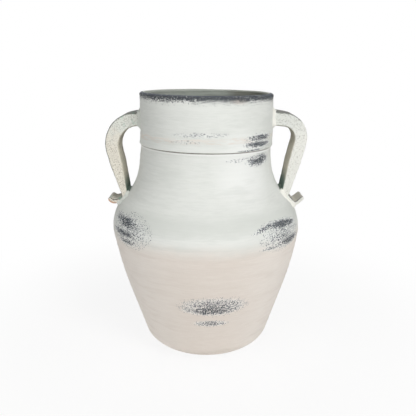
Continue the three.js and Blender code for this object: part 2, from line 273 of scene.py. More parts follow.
# marks that the wheel and the hand left, in millimetres; rings are pitch, amplitude and turns of the
# spiral, bands are height, amplitude and half width
throwing = {
    "columns": 224, "spacing": 1.7, "insideSpacing": 2.2, "firstRing": 1.0,
    "rings": [(7.3, 0.05, 1), (11.9, 0.07, -1), (4.6, 0.02, 2)],
    "insideRings": [(9.0, 0.35, 1), (5.1, 0.12, -1)],
    "bands": [(195, 0.25, 7), (181.5, 0.2, 3.5), (171, 0.2, 3)],
    "sway": 0.25, "swayPitch": 60, "groove": 0.1, "grooveWidth": 4.5,
    "fadeIn": 10, "fadeOut": 6,  # the marks set in and die away over these heights
}


def roundedPath(corners, arcStep=math.radians(4)):
    # tangent arcs in the corners of an open outline: centre on the bisector at radius / sin(half angle);
    # an arc takes at most half of an edge, or nearly all of the first and the last one
    most, nearlyAll = 0.49, 0.95
    points = [np.array(corners[0][:2], float)]
    for before, here, after in zip(corners, corners[1:], corners[2:]):
        p = np.array(here[:2], float)
        back = np.array(before[:2], float) - p
        ahead = np.array(after[:2], float) - p
        lengths = np.linalg.norm(back), np.linalg.norm(ahead)
        room = min((nearlyAll if here is corners[1] else most) * lengths[0],
                   (nearlyAll if here is corners[-2] else most) * lengths[1])
        back /= np.linalg.norm(back)
        ahead /= np.linalg.norm(ahead)
        halfAngle = 0.5 * math.acos(float(np.clip(back @ ahead, -1, 1)))
        tangent = min(here[2] / math.tan(halfAngle), room)
        radius = tangent * math.tan(halfAngle)
        if radius < 0.05:  # too small to show
            points.append(p)
            continue
        middle = (back + ahead) / np.linalg.norm(back + ahead)
        centre = p + middle * radius / math.sin(halfAngle)
        start = p + back * tangent - centre
        end = p + ahead * tangent - centre
        sweep = math.atan2(start[0] * end[1] - start[1] * end[0], start @ end)
        steps = max(3, math.ceil(abs(sweep) / arcStep))
        for k in range(steps + 1):
            a = sweep * k / steps
            turn = np.array([[math.cos(a), -math.sin(a)], [math.sin(a), math.cos(a)]])
            points.append(centre + turn @ start)
    points.append(np.array(corners[-1][:2], float))
    return np.array(points)


def insetCorners(corners, shifts):
    # every edge moved to its left by its shift, and each corner set where its two edges meet again
    c = np.array([k[:2] for k in corners], float)
    along = np.diff(c, axis=0)
    along /= np.linalg.norm(along, axis=1)[:, None]
    origin = c[:-1] + np.stack([-along[:, 1], along[:, 0]], 1) * np.array(shifts)[:, None]
    inset = [(c[0, 0], origin[0, 1], 0)]
    for i in range(1, len(along)):
        turn = along[i - 1, 0] * along[i, 1] - along[i - 1, 1] * along[i, 0]
        gap = origin[i] - origin[i - 1]
        run = (gap[0] * along[i, 1] - gap[1] * along[i, 0]) / turn
        meet = origin[i - 1] + along[i - 1] * run
        inset.append((*meet, max(0, corners[i][2] - math.copysign(1, turn) * shifts[i])))
    rise = (c[-1, 1] - origin[-1, 1]) / along[-1, 1]
    inset.append((origin[-1, 0] + along[-1, 0] * rise, c[-1, 1], 0))
    return inset


def radiusAt(outline, height):
    # an outline's radius at a height; flat stretches are made to climb by a hair, as interp needs
    climbing = np.maximum.accumulate(outline[:, 1]) + 1e-9 * np.arange(len(outline))
    return np.interp(height, climbing, outline[:, 0])


def stretch(outline, low, high):
    # the part of an outline between two heights; a flat floor at its start is kept whole
    near = 0.01
    heights = outline[:, 1]
    inside = outline[(heights > low + near) & (heights < high - near)]
    onFloor = low < heights[0] + near
    start = outline[heights <= low + near] if onFloor else [[radiusAt(outline, low), low]]
    return np.vstack([start, inside, [[radiusAt(outline, high), high]]])


def spaced(points, spacing):
    # the same outline with no two points further apart than the spacing
    rows = [points[:1]]
    for a, b in zip(points, points[1:]):
        n = max(1, math.ceil(np.linalg.norm(b - a) / spacing))
        rows.append(a + (b - a) * (np.arange(1, n + 1) / n)[:, None])
    return np.vstack(rows)


# the inside lies the floor's thickness above the foot and the wall's behind each other edge
shifts = [pot["floor"]] + [pot["wall"]] * (len(pot["corners"]) - 2)
outerOutline = roundedPath(pot["corners"])
innerOutline = roundedPath(insetCorners(pot["corners"], shifts))


def putMesh(name, points, faces, materials, nodes, sharp=35, second=None):
    # puts points in millimetres into a mesh in metres; second marks the faces of the second material
    mesh = bpy.data.meshes.new(name)
    mesh.from_pydata((points * mm).tolist(), [], faces)
    for material in materials:
        mesh.materials.append(material)
    if second is not None:
        mesh.polygons.foreach_set("material_index", second.astype(np.int32))
    mesh.shade_smooth()
    mesh.set_sharp_from_angle(angle=math.radians(sharp))
    mesh.validate()
    obj = bpy.data.objects.new(name, mesh)
    bpy.context.collection.objects.link(obj)
    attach(obj, "root")
    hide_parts(*nodes)
    print("made", name, len(mesh.polygons), "faces")
    return obj


def gridFaces(rows, columns, closeRows):
    # quads of a grid, corners (i, j), (i, j + 1), (i + 1, j + 1) and (i + 1, j); the columns run round,
    # and the rows too when closeRows is true
    last = rows if closeRows else rows - 1
    i, j = np.meshgrid(np.arange(last), np.arange(columns), indexing="ij")
    down = (i + 1) % rows
    right = (j + 1) % columns
    quads = np.stack([i * columns + j, i * columns + right, down * columns + right, down * columns + j], -1)
    return quads.reshape(-1, 4).tolist()


def ringWave(height, angle, rings):
    # throwing rings: sum of a * sin(2 pi z / pitch + turns * angle), each a shallow spiral
    return sum(a * np.sin(tau * height / pitch + turns * angle) for pitch, a, turns in rings)


def thrown(profile, outsideRows, insideRows, secondRows, onAxis, after=None):
    # revolves (radius, height) rows: x = r cos(a), y = r sin(a), with r moved by the rings along
    # the outline's normal where the wall is plain, and always inwards of the true outline
    t = throwing
    columns = t["columns"]
    angle = np.arange(columns) / columns * tau
    r = np.repeat(profile[:, :1], columns, 1)
    z = np.repeat(profile[:, 1:], columns, 1)
    a = np.repeat(angle[None], len(profile), 0)
    slope = np.gradient(profile, axis=0)
    for rows in (outsideRows > 0, insideRows > 0):
        # the ends of a plain wall take the wall's own slope, not that of the step beside it
        if rows.sum() > 2:
            slope[rows] = np.gradient(profile[rows], axis=0)
    slope /= np.maximum(np.linalg.norm(slope, axis=1), 1e-9)[:, None]
    raised = sum(h * np.exp(-((z - level) / w) ** 2) for level, h, w in t["bands"])
    ringTop = sum(ring[1] for ring in t["rings"])
    bandTop = max(band[1] for band in t["bands"])
    outer = ringWave(z, a, t["rings"]) - ringTop + raised - bandTop
    outer -= t["sway"] * (0.5 + 0.5 * np.cos(2 * a + z / t["swayPitch"]))
    outer -= t["groove"] * np.exp(-((z - pot["joint"] + 1) / t["grooveWidth"]) ** 2)
    inner = ringWave(z, a, t["insideRings"])
    shift = outer * outsideRows[:, None] + inner * insideRows[:, None]
    r = r + shift * slope[:, 1:]
    z = z - shift * slope[:, :1]
    points = np.stack([r * np.cos(a), r * np.sin(a), z], -1).reshape(-1, 3)
    if after is not None:
        points = after(points)
    points = settled(points)
    rows = len(profile)
    faces = gridFaces(rows, columns, not onAxis)
    second = np.repeat(secondRows[:rows if not onAxis else rows - 1], columns)
    if onAxis:
        first, last = len(points), len(points) + 1
        points = np.vstack([points, [[0, 0, onAxis[0]], [0, 0, onAxis[1]]]])
        j = np.arange(columns)
        nextJ = (j + 1) % columns
        faces += np.stack([nextJ, j, np.full(columns, first)], 1).tolist()
        end = (rows - 1) * columns
        faces += np.stack([end + j, end + nextJ, np.full(columns, last)], 1).tolist()
        second = np.r_[second, np.full(columns, secondRows[0]), np.full(columns, secondRows[-1])]
    return points, faces, second


def fade(height, low, high, margin):
    # 1 between two heights, falling to 0 over the margin at both ends
    return np.clip((height - low) / margin, 0, 1) * np.clip((high - height) / margin, 0, 1)


def smooth(value, low, high):
    # 0 below low, 1 above high, t * t * (3 - 2t) between
    t = np.clip((value - low) / (high - low), 0, 1)
    return t * t * (3 - 2 * t)


def tiltAt(height):
    # how far out of level the pot is: nothing at the belly, more at the seat and most at the rim
    p = pot
    seatTilt = math.tan(math.radians(p["seatTilt"]))
    rimTilt = math.tan(math.radians(p["rimTilt"]))
    ledge = p["seat"] + p["spigot"] + p["gap"]
    above = np.clip((height - ledge) / (p["rim"] - ledge), 0, 1)
    return seatTilt * smooth(height, p["tiltFrom"], p["seat"]) + (rimTilt - seatTilt) * above


def asideAt(height):
    # sideways shift of the pot's axis: it grows round the belly, and the collar sits a little off the neck
    p = pot
    neck = p["aside"] * smooth(height, *p["asideOver"])
    return neck + (p["collarAside"] - p["aside"]) * smooth(height, *p["collarAsideOver"])


def settled(points):
    # the soft pot sank a little before it dried: z = z - x * tilt, and x moves aside above the belly
    x, z = points[:, 0], points[:, 2]
    return np.stack([x + asideAt(z), points[:, 1], z - x * tiltAt(z)], 1)


def wallAt(points):
    # the settled pot's outside near some points: radius, axis shift and the slope dr/dz over 1 mm
    p = pot
    x, z = points[..., 0], points[..., 2]
    level = z + x * tiltAt(z)

    def radius(h):
        collar = np.interp(h, [p["seat"], p["rim"]], [p["collarRadius"], p["rimRadius"]])
        return np.where(h > p["seat"], collar, radiusAt(outerOutline, h))

    return radius(level), asideAt(level), radius(level + 0.5) - radius(level - 0.5)


def makeLowerBody(materials):
    # outline from the foot up to the joint, over the tongue, and down the inside to the floor
    p, t = pot, throwing
    tongueTop = p["joint"] + p["tongueHeight"]
    tongueRadius = radiusAt(innerOutline, p["joint"]) + p["tongue"]
    outside = stretch(outerOutline, 0, p["joint"])
    inside = stretch(innerOutline, p["floor"], tongueTop)
    for outline in (outside, inside):
        # the first ring lies round the axis, and a point on it closes the middle
        outline[0, 0] = t["firstRing"]
    outside = spaced(outside, t["spacing"])
    inside = spaced(inside, t["insideSpacing"])[::-1]
    step = np.array([[tongueRadius, p["joint"]], [tongueRadius, tongueTop]])
    profile = np.vstack([outside, step, inside])
    z = profile[:, 1]
    isOutside = np.arange(len(profile)) < len(outside)
    isInside = np.arange(len(profile)) >= len(outside) + 2
    outsideRows = isOutside * np.clip((z - 1) / t["fadeIn"], 0, 1)
    aboveFloor = np.clip((z - p["floor"] - 4) / t["fadeIn"], 0, 1)
    insideRows = isInside * aboveFloor * np.clip((tongueTop - z) / t["fadeOut"], 0, 1)
    points, faces, second = thrown(profile, outsideRows, insideRows, isInside, (0, p["floor"]))
    putMesh("lower_body_thrown", points, faces, materials, ["lower_body"], second=second)


def makeUpperBody(materials):
    # outline from the joint up to the seat, over the spigot, down the inside, and round the recess
    p, t = pot, throwing
    recessTop = p["joint"] + p["tongueHeight"] + p["gap"]
    recessRadius = radiusAt(innerOutline, p["joint"]) + p["tongue"] + p["gap"]
    bore = outerOutline[-1, 0] - p["wall"]
    spigotTop = p["seat"] + p["spigot"]
    spigotRadius = bore + p["spigotWall"]
    outside = spaced(stretch(outerOutline, p["joint"], p["seat"]), t["spacing"])
    top = np.array([[spigotRadius, p["seat"]], [spigotRadius, spigotTop - p["spigotChamfer"]],
                    [spigotRadius - p["spigotChamfer"], spigotTop], [bore, spigotTop]])
    inside = spaced(stretch(innerOutline, recessTop, p["seat"]), t["insideSpacing"])[::-1]
    under = np.array([[recessRadius, recessTop], [recessRadius, p["joint"]]])
    profile = np.vstack([outside, top, inside, under])
    z = profile[:, 1]
    index = np.arange(len(profile))
    outsideRows = (index < len(outside)) * np.clip((p["seat"] - z) / 4, 0, 1)
    isInside = (index >= len(outside) + 3) & (index < len(outside) + 4 + len(inside))
    insideRows = isInside * fade(z, recessTop, p["seat"], t["fadeOut"])
    points, faces, second = thrown(profile, outsideRows, insideRows, isInside, None)
    putMesh("upper_body_thrown", points, faces, materials, ["upper_body"], second=second)


# tooled lines on the collar, each with height, depth and half width, and the wear of its lip
collarMarks = {"grooves": [(293.6, 0.3, 0.8), (300.2, 0.25, 0.9)], "lipWear": 0.25, "spacing": 1.4}


def makeCollar(materials):
    # outline from the socket's foot out, up the outside, over the lip, down to the ledge and into the socket
    p, m = pot, collarMarks
    ledge = p["seat"] + p["spigot"] + p["gap"]
    socket = outerOutline[-1, 0] - p["wall"] + p["spigotWall"] + p["gap"]
    share = (ledge - p["seat"]) / (p["rim"] - p["seat"])
    ledgeRadius = p["collarRadius"] + (p["rimRadius"] - p["collarRadius"]) * share
    corners = [(socket, p["seat"], 0), (p["collarRadius"], p["seat"], p["collarEdge"]),
               (p["rimRadius"], p["rim"], p["lipRound"]),
               (p["rimRadius"] - p["lip"], p["rim"], p["lipRound"]), (ledgeRadius - p["lip"], ledge, 0)]
    outline = roundedPath(corners, math.radians(9))
    profile = np.vstack([spaced(outline, m["spacing"]), [[socket, ledge], [socket, (ledge + p["seat"]) / 2]]])
    r, z = profile.T
    middle = p["rimRadius"] - p["lip"] / 2
    plain = fade(z, p["seat"] + 2, p["rim"] - 2, 3)
    outsideRows = plain * (r > middle - 0.5)
    isInside = (r < middle - 1.5) & (np.arange(len(profile)) > len(profile) // 3)
    insideRows = plain * isInside * np.clip((z - ledge) / 4, 0, 1)

    def tooled(points):
        # lines of depth * exp(-(distance / half width)^2), a little wavy, and a lip worn by handling
        radius = np.hypot(points[:, 0], points[:, 1])
        angle = np.arctan2(points[:, 1], points[:, 0])
        out = radius > middle + 1
        wave = 0.5 * np.sin(angle)
        cut = sum(depth * np.exp(-((points[:, 2] - level - wave) / half) ** 2)
                  for level, depth, half in m["grooves"])
        nearLip = np.clip((points[:, 2] - p["rim"] + 5) / 4, 0, 1)
        worn = m["lipWear"] * nearLip * (1 + np.sin(7 * angle + 1.3) * np.sin(3 * angle)) / 2
        shrink = 1 - (cut + worn) * out / np.maximum(radius, 1)
        return np.stack([points[:, 0] * shrink, points[:, 1] * shrink, points[:, 2] - worn], 1)

    points, faces, second = thrown(profile, outsideRows, insideRows, isInside, None, tooled)
    putMesh("collar_thrown", points, faces, materials, ["collar"], second=second)


# pulled straps, each in its own upright plane: root height and droop to the knuckle, inset from the
# belly and round of the knuckle, foot above the belly, bite into the shoulder, drop to the tail, how far
# tail and tip stand off the wall, thickness from root over knuckle, leg and foot to tail, and width
straps = {
    "left": {"side": -1, "root": 34.1, "droop": 4.7, "inset": -0.2, "knuckle": 34.5, "above": 18.8,
             "bite": 4.9, "drop": 3.8, "tail": 10.4, "tailBend": 7, "tip": 16.6, "rise": 5,
             "thick": (18.2, 18.9, 15.8, 7.2, 5.8), "width": (34, 35, 38, 32)},
    "right": {"side": 1, "root": 35.5, "droop": 6.9, "inset": 2.1, "knuckle": 24.4, "above": 24.7,
              "bite": 1.8, "drop": 13.3, "tail": 1.6, "tailBend": 5, "tip": 13.2, "rise": 9.7,
              "thick": (19.2, 17, 16.6, 10.2, 5), "width": (34, 35, 38, 32)},
}
# what both straps share: edges, bends, how deep they are pressed on, mesh rows and finger marks
pulling = {
    "edge": 2.2, "hollow": 0.25, "footBend": 7, "tipShy": 0.6, "press": 1.2,
    "stations": 170, "arcPoints": 6, "flatPoints": 10,
    "ripple": 0.3, "ripplePitch": (5.1, 2.3), "sway": 0.25, "swayPitch": 7.7, "calmEnd": 20,
}


def strapCorners(s):
    # root in the collar's wall, knuckle, foot and tail on the shoulder, tip: radius, height and round
    p, q = pot, pulling
    belly, bellyHeight, bellyRound = p["corners"][4]
    rootHeight = p["seat"] + s["root"]
    footHeight = bellyHeight + s["above"]
    tailHeight = footHeight - s["drop"]
    wallAtTail = radiusAt(outerOutline, tailHeight)
    root = (p["collarRadius"] - p["wall"], rootHeight, 0)
    knuckle = (belly - s["inset"], rootHeight - s["droop"], s["knuckle"])
    foot = (radiusAt(outerOutline, footHeight) - s["bite"], footHeight, q["footBend"])
    tail = (wallAtTail + s["tail"], tailHeight, s["tailBend"])
    tip = (wallAtTail + s["tip"] - q["tipShy"], tailHeight + s["rise"], 0)
    return [root, knuckle, foot, tail, tip]


def strapLine(s):
    # the centre line through the rounded corners, at even distances, and where knuckle and foot lie on it
    corners = strapCorners(s)
    line = roundedPath(corners, math.radians(3))
    run = np.r_[0, np.cumsum(np.linalg.norm(np.diff(line, axis=0), axis=1))]
    at = np.linspace(0, run[-1], pulling["stations"])
    even = np.stack([np.interp(at, run, line[:, k]) for k in (0, 1)], 1)
    near = [at[np.argmin(np.linalg.norm(even - np.array(corners[k][:2]), axis=1))] for k in (1, 2)]
    return even, at, near


def strapSections(s, at, near):
    # half widths and half thicknesses: straight tapers from root to knuckle to foot to tail, less the
    # finger marks; the tip is round, sqrt(1 - short^2) with short growing from 0 to 1 over its end
    q = pulling
    leg, tailAt = 0.5 * (near[0] + near[1]), 0.5 * (near[1] + at[-1])
    rootWidth, kneeWidth, footWidth, tipWidth = s["width"]
    width = np.interp(at, [0, near[0], near[1], at[-1]], [rootWidth, kneeWidth, footWidth, tipWidth])
    tail = s["thick"][-1]
    thickness = np.interp(at, [0, near[0], leg, near[1], tailAt, at[-1]], [*s["thick"], tail])
    short = np.clip((tail / 2 - (at[-1] - at)) / (tail / 2), 0, 1)
    rounded = np.sqrt(np.maximum(0.05, 1 - short ** 2))
    calm = np.clip((at[-1] - at) / q["calmEnd"], 0, 1)
    long, brief = q["ripplePitch"]
    fingers = q["ripple"] * (np.sin(at / long + s["side"]) + 0.6 * np.sin(at / brief)) ** 2 * calm
    sway = q["sway"] * (1 + np.sin(at / q["swayPitch"] + s["side"])) * calm
    return width / 2 - (1 - rounded) * tail / 2 - sway, thickness / 2 * rounded - fingers * 0.4


def sectionLoop(high, halfWidth):
    # a rectangle with round corners for each station, as (across, outwards): quarter circles joined
    # by flats that have a few points each and are a little hollow
    q = pulling
    r = np.minimum(q["edge"], 0.9 * high)[:, None]
    quarter = np.linspace(0, math.pi / 2, q["arcPoints"])[None]
    flat = np.linspace(0, 1, q["flatPoints"] + 2)[1:-1][None]
    hollow = q["hollow"] * 4 * flat * (1 - flat)
    inX, inY = halfWidth[:, None] - r, high[:, None] - r
    across, out = [], []
    for k, (sx, sy, nx, ny) in enumerate([(1, 1, -1, 1), (-1, 1, -1, -1), (-1, -1, 1, -1), (1, -1, 1, 1)]):
        angle = quarter + k * math.pi / 2
        across.append(sx * inX + r * np.cos(angle))
        out.append(sy * inY + r * np.sin(angle))
        turn = (k + 1) * math.pi / 2
        dx, dy = round(math.cos(turn)), round(math.sin(turn))
        across.append(sx * inX * (1 - flat) + nx * inX * flat + dx * (r - hollow))
        out.append(sy * inY * (1 - flat) + ny * inY * flat + dy * (r - hollow))
    return np.concatenate(across, 1), np.concatenate(out, 1)


def strapRings(s):
    # each section lies square to the centre line: x = side * (u - tz * out), y = across, z = w + tx * out;
    # fields for the finish: 0 root, 1 knuckle, 2 foot, 3 tip, and -1 on the inner face to 1 on the outer
    even, at, near = strapLine(s)
    halfWidth, halfThickness = strapSections(s, at, near)
    across, out = sectionLoop(halfThickness, halfWidth)
    along = np.gradient(even, axis=0)
    along /= np.linalg.norm(along, axis=1)[:, None]
    x = s["side"] * (even[:, :1] - along[:, 1:] * out)
    z = even[:, 1:] + along[:, :1] * out
    run = np.interp(at, [0, *near, at[-1]], [0, 1, 2, 3])
    fields = {"run": np.repeat(run[:, None], x.shape[1], 1), "outward": out / halfThickness[:, None],
              "sideways": across / halfWidth[:, None]}
    return np.stack([x, across, z], -1), fields


def pressedOn(points, depth):
    # clay pushed on to the pot: nothing goes deeper than the depth below the wall's surface
    radius, aside, slope = wallAt(points)
    x, y = points[..., 0] - aside, points[..., 1]
    push = np.maximum((radius - depth) / np.maximum(np.hypot(x, y), 1e-6), 1)
    return np.stack([x * push + aside, y * push, points[..., 2]], -1)


def facingOut(points, faces):
    # turns a closed mesh the right way out by the sign of its volume
    triangles = np.array([f[:3] for f in faces] + [[f[0], f[2], f[3]] for f in faces if len(f) == 4])
    a, b, c = points[triangles[:, 0]], points[triangles[:, 1]], points[triangles[:, 2]]
    volume = np.einsum("ij,ij->i", a, np.cross(b, c)).sum()
    return faces if volume > 0 else [f[::-1] for f in faces]


def makeStrap(name, s, materials):
    # the sections pressed on to the wall, and a fan of triangles over each end
    rings, fields = strapRings(s)
    rings = pressedOn(rings, pulling["press"])
    rows, columns = rings.shape[:2]
    points = np.vstack([rings.reshape(-1, 3), rings[0].mean(0)[None], rings[-1].mean(0)[None]])
    j = np.arange(columns)
    nextJ = (j + 1) % columns
    end = (rows - 1) * columns
    faces = gridFaces(rows, columns, False)
    faces += np.stack([nextJ, j, np.full(columns, rows * columns)], 1).tolist()
    faces += np.stack([end + j, end + nextJ, np.full(columns, rows * columns + 1)], 1).tolist()
    obj = putMesh(f"{name}_strap", points, facingOut(points, faces), materials, [f"{name}_handle"])
    for fieldName, values in fields.items():
        layer = obj.data.attributes.new(fieldName, "FLOAT", "POINT")
        ends = [values[0].mean(), values[-1].mean()]
        layer.data.foreach_set("value", np.r_[values.ravel(), ends].astype(np.float32))


# rolls of clay smoothed into the corner between strap and wall: how far they reach over each, in
# millimetres, how much they swell above the straight line between their edges, and finger dabs
rolls = {"upper": {"reach": 4.0, "swell": -0.28, "dab": 0.12},
         "lower": {"reach": 2.7, "swell": 0.22, "dab": 0.16},
         "dabPitch": (3.7, 1.9), "stations": 220, "points": 10, "bury": 1.3, "edgeIn": 0.35, "soften": 4}


def outwardNormals(rings):
    # surface normals of a strap by its grid: (along the strap) x (round the section), turned outwards
    along = np.gradient(rings, axis=0)
    around = np.roll(rings, -1, 1) - np.roll(rings, 1, 1)
    normal = np.cross(along, around)
    normal /= np.maximum(np.linalg.norm(normal, axis=2), 1e-9)[..., None]
    away = ((rings - rings.mean(1, keepdims=True)) * normal).sum(2).mean()
    return normal if away > 0 else -normal


def wallNormals(points):
    # (x / r, y / r, -dr/dz), made one long
    radius, aside, slope = wallAt(points)
    x, y = points[:, 0] - aside, points[:, 1]
    r = np.hypot(x, y)
    normal = np.stack([x / r, y / r, -slope], 1)
    return normal / np.linalg.norm(normal, axis=1)[:, None]


def crossing(rings, normals, clear, first, last, passes, which):
    # where each line of the strap that passes often enough through the wall does so for the first time
    # (which 0) or the last (which -1) between two stations: rings[i] * (1 - t) + rings[i + 1] * t
    found, facing = [], []
    for j in range(rings.shape[1]):
        sign = clear[first:last, j] > 0
        change = np.flatnonzero(sign[1:] != sign[:-1])
        if len(change) >= passes:
            i = first + change[which]
            t = clear[i, j] / (clear[i, j] - clear[i + 1, j])
            found.append(rings[i, j] * (1 - t) + rings[i + 1, j] * t)
            facing.append(normals[i, j] * (1 - t) + normals[i + 1, j] * t)
    return np.array(found), np.array(facing)


def evenLoop(points, extra, count, soften):
    # a closed path at even distances, softened by a running mean; extra values follow the points
    ring = np.vstack([points, points[:1]])
    more = np.vstack([extra, extra[:1]])
    run = np.r_[0, np.cumsum(np.linalg.norm(np.diff(ring, axis=0), axis=1))]
    at = np.linspace(0, run[-1], count, endpoint=False)
    path = np.stack([np.interp(at, run, ring[:, k]) for k in range(3)], 1)
    values = np.stack([np.interp(at, run, more[:, k]) for k in range(3)], 1)
    for _ in range(soften):
        path = (np.roll(path, 1, 0) + path * 2 + np.roll(path, -1, 0)) / 4
        values = (np.roll(values, 1, 0) + values * 2 + np.roll(values, -1, 0)) / 4
    return path, values / np.linalg.norm(values, axis=1)[:, None], at


def makeRoll(name, points, facing, size, node, materials):
    # section between wall edge W and strap edge S of the corner J: quadratic curve
    # P = (1-t)^2 W + 2t(1-t) C + t^2 S with C = middle of W and S + swell * reach * outwards
    r = rolls
    corner, onStrap, at = evenLoop(points, facing, r["stations"], r["soften"])
    onWall = wallNormals(corner)
    overlap = (onStrap * onWall).sum(1)[:, None]
    alongWall = onStrap - overlap * onWall
    alongWall /= np.linalg.norm(alongWall, axis=1)[:, None]
    alongStrap = onWall - overlap * onStrap
    alongStrap /= np.linalg.norm(alongStrap, axis=1)[:, None]
    long, brief = r["dabPitch"]
    reach = size["reach"] * (1 + size["dab"] * (np.sin(at / long) + 0.6 * np.sin(at / brief + 1)))[:, None]
    reach = reach * (1 + 0.9 * np.clip(-overlap - 0.2, 0, 1))  # more where the corner is tight
    wallEdge = corner + alongWall * reach - onWall * r["edgeIn"]
    strapEdge = corner + alongStrap * reach - onStrap * r["edgeIn"]
    outwards = onStrap + onWall
    outwards /= np.maximum(np.linalg.norm(outwards, axis=1), 0.3)[:, None]
    control = (wallEdge + strapEdge) / 2 + outwards * reach * size["swell"]
    t = np.linspace(0, 1, r["points"])[None, :, None]
    start, middle, end = (1 - t) ** 2, 2 * t * (1 - t), t ** 2
    curve = start * wallEdge[:, None] + middle * control[:, None] + end * strapEdge[:, None]
    buried = np.stack([strapEdge - onStrap * r["bury"], corner - (onStrap + onWall) * r["bury"],
                       wallEdge - onWall * r["bury"]], 1)
    loops = np.concatenate([curve, buried], 1)
    points = loops.reshape(-1, 3)
    faces = facingOut(points, gridFaces(*loops.shape[:2], True))
    putMesh(name, points, faces, materials, [node], sharp=60)


def makeRolls(name, s, materials):
    # the upper roll goes round the root where each line leaves the wall once; the lower one runs where the
    # foot's lines enter the wall, and back where they leave it again
    rings = strapRings(s)[0]
    normals = outwardNormals(rings)
    radius, aside, slope = wallAt(rings)
    clear = np.hypot(rings[..., 0] - aside, rings[..., 1]) - radius
    middle = rings.shape[0] // 3
    points, facing = crossing(rings, normals, clear, 0, middle, 1, 0)
    makeRoll(f"{name}_upper_roll", points, facing, rolls["upper"], f"{name}_upper_luting", materials)
    # the foot's lines are turned so that they start on the strap's outer face, which stays clear
    turn = int(np.argmax(clear[middle:].min(0)))
    rings, normals, clear = [np.roll(k, -turn, 1) for k in (rings, normals, clear)]
    enter = crossing(rings, normals, clear, middle, rings.shape[0], 2, 0)
    leave = crossing(rings, normals, clear, middle, rings.shape[0], 2, -1)
    points = np.vstack([enter[0], leave[0][::-1]])
    facing = np.vstack([enter[1], leave[1][::-1]])
    makeRoll(f"{name}_lower_roll", points, facing, rolls["lower"], f"{name}_lower_luting", materials)


# limewash: its colours, and its random marks as size in millimetres, stretch along x, y and z, detail,
# roughness and shift
washColours = {
    # the lower wash is its own warm tone, painted lighter for the light thrown up from the floor
    "upper": srgb(230, 232, 227), "upperDeep": srgb(215, 218, 212), "lower": srgb(240, 233, 225),
    "lowerWarm": srgb(223, 213, 203), "brightLine": srgb(240, 241, 237), "slip": srgb(36, 42, 52),
    "slipThin": srgb(96, 103, 113), "clay": srgb(112, 100, 88), "beige": srgb(226, 212, 198),
    "white": srgb(246, 247, 244),
}
washMarks = {
    "grain": (1.15, (1.25, 1.25, 0.8)), "fine": (0.7, (1, 1, 1), 1.0),
    "stroke": (14, (1, 1, 0.14), 4.0, 0.6), "hair": (13, (1, 1, 0.09), 3.0, 0.6, (3, 5, 1)),
    "cloud": (46, (1, 1, 0.6)), "sweep": (60, (1, 1, 0.16), 3.0, 0.55, (2, 7, 5)),
    "warp": (5, (1, 1, 1), 1.0, 0.5, (9, 2, 4)),
}
wash = {
    "break": 175, "breakSoft": 14, "drift": (12, 9),  # where the lower wash ends, and how it wanders
    # the dark band is painted shade, where the belly turns downwards
    "dark": (202, 14, 0.6), "bright": (184.5, 7, 0.3),  # bands: height, half width and share
    "ring": (297.5, 4.5, 0.45), "sweep": 0.35, "flecks": 0.25,
    # round the front the lower wash is darker: partly its own warmer tone, partly painted shade against the
    # front light
    "warmAt": (2, 48, 0.6),  # the lower wash is warmer round this angle, within so many degrees
    # the thick patch is a painted highlight: white pooled over the neck right of the front, where the light
    # falls brightest
    "thick": (31, 262, 30, 52, 0, 0.75), "chip": (27, 344, 9, 5, 0, 1.0),  # as the patches
    "weave": 2.6, "slip": 0.93, "halo": 0.42, "roughness": 0.82, "relief": 0.28,
}
# dry-brushed patches: angle from the front in degrees, height, half sizes, climb per degree, and the
# share of the wash that is rubbed through in the middle
patches = [
    (50, 299, 19, 4.8, 0, 1.0), (48, 291.4, 21, 5, 0, 0.98), (40, 284.8, 19, 1.6, 0, 0.75),
    (49.5, 271.6, 18, 8.6, 0.1, 1.0), (28, 274.5, 14, 3, 0.1, 0.42), (51, 294, 22, 15, 0, 0.32),
    (-54, 195.8, 17, 9, -0.1, 0.95), (-56, 182, 16, 5.6, 0, 0.95), (-51, 173.5, 11, 4.6, 0, 0.82),
    (-50, 187, 21, 24, 0, 0.5), (-66, 198, 6, 8, 0, 0.6),
    (52, 195, 20, 6.6, -0.2, 1.0), (36, 196.3, 11, 4, 0.45, 0.75), (51, 182, 22, 21, 0, 0.56),
    (57, 173, 16, 7.6, 0, 0.92), (41, 171.5, 12, 3, 0, 0.6),
    (5, 98.5, 26, 17, 0, 0.66), (3, 93, 23, 8.6, 0, 0.86), (3, 72, 15, 6, 0, 0.62),
    (-4, 305, 27, 3.8, 0, 0.38), (-16, 297, 18, 2.8, 0, 0.26),
    # round the back
    (168, 195, 20, 9, 0, 0.98), (158, 183, 19, 16, 0, 0.55), (150, 292, 20, 6, 0, 0.95),
    (146, 272, 17, 7, 0, 0.9), (-152, 120, 21, 9, 0, 0.95), (-146, 108, 18, 12, 0, 0.55),
    (-128, 271, 16, 6.5, 0, 0.9), (120, 87, 18, 8, 0, 0.95), (112, 99, 17, 13, 0, 0.5),
    (-100, 68, 14, 6, 0, 0.72),
]
# rubbed lip: how far the slip shows below the crest and how much of that is solid, in millimetres, and
# the radius from which it shows on the near and on the far side
lipRub = {"solid": 3.0, "specks": 10.4, "nearEdge": 80.5, "farEdge": 85.2, "leftThin": 1.4, "share": 0.95}
# seam under the collar: distances from the seat in millimetres, with the half widths of the line and of the
# painted highlight below it
seam = {"line": (0.85, 0.35), "highlight": (1.1, 0.3), "highlightBelow": 1.9, "highlightShare": 0.8, "wobble": 0.7,
        "faint": 0.55, "clearFrom": (-84, -40)}


def patchMask(paint, angle, height, patch):
    # how much is rubbed through: weight * (1 - u^2 - v^2) over an ellipse
    at, level, halfAngle, halfHeight, climb, weight = patch
    off = angle - at
    u = off / halfAngle
    v = (height - level - off * climb) / halfHeight
    return paint.clamp(1 - (u * u + v * v)) * weight


def weaveAt(paint, angle, radius, z, warp):
    # crossed brush hairs: sin(a) * sin(b) with a and b on two slants over the surface, 0 to 1
    run = angle * radius * (math.pi / 180)
    turns = tau / wash["weave"]
    first = paint.maths("SINE", (run * 0.55 + z + warp * 3) * turns)
    second = paint.maths("SINE", (run * 0.45 - z * 1.15 + warp * 4) * turns)
    return first * second * 0.5 + 0.5


